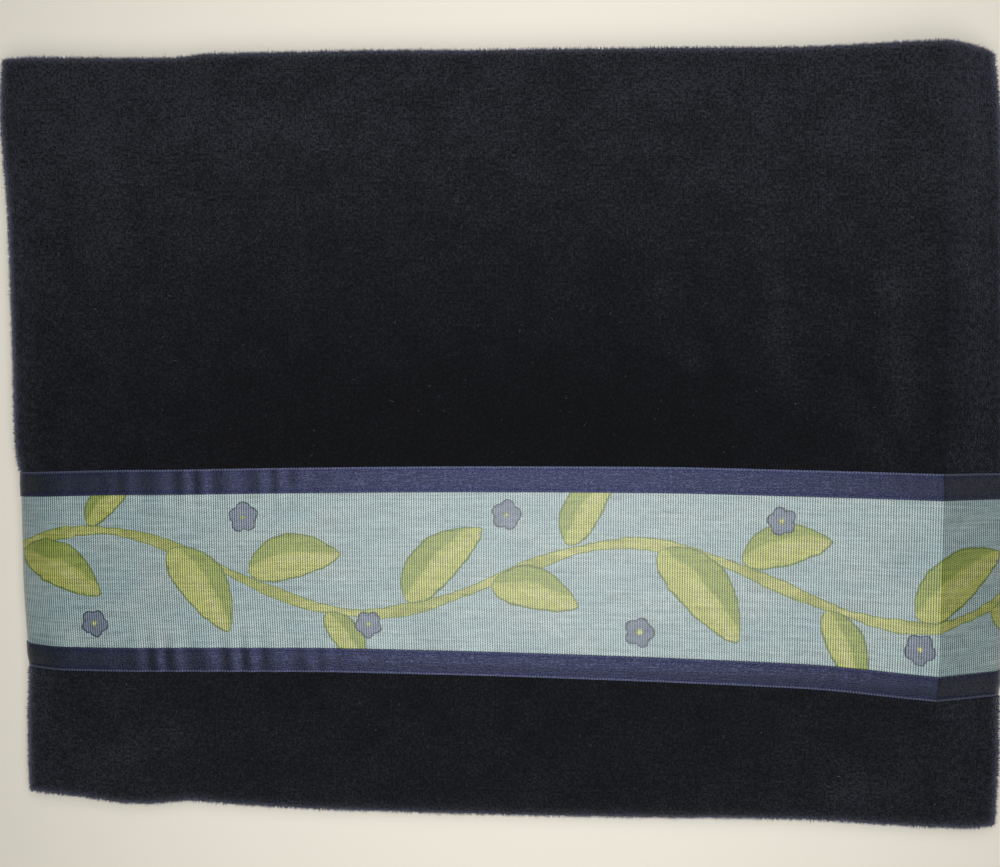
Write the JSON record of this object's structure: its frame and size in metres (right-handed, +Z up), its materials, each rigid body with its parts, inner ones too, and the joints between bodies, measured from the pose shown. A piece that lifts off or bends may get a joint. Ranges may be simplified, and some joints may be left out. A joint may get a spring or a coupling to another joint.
{
  "type": "tallit bag",
  "caption": "Flat velvet pouch for a prayer shawl, with a printed cloth strip across its front, a ribbon along each edge of the strip and an open mouth.",
  "frame": {"origin": "on the table under the middle of the pouch", "axes": "+X to the front's right, +Y to the mouth, +Z up from the table through the front"},
  "size_m": [0.3632, 0.2759, 0.0225],
  "materials": {
    "velvet": "cotton velvet pile, blue-black",
    "printed_cloth": "ribbed cotton, printed",
    "ribbon": "satin-faced, navy"
  },
  "bodies": {
    "root": {"front_panel": "velvet", "back_panel": "velvet", "print_band": "printed_cloth", "upper_ribbon": "ribbon", "lower_ribbon": "ribbon"}
  },
  "joints": []
}
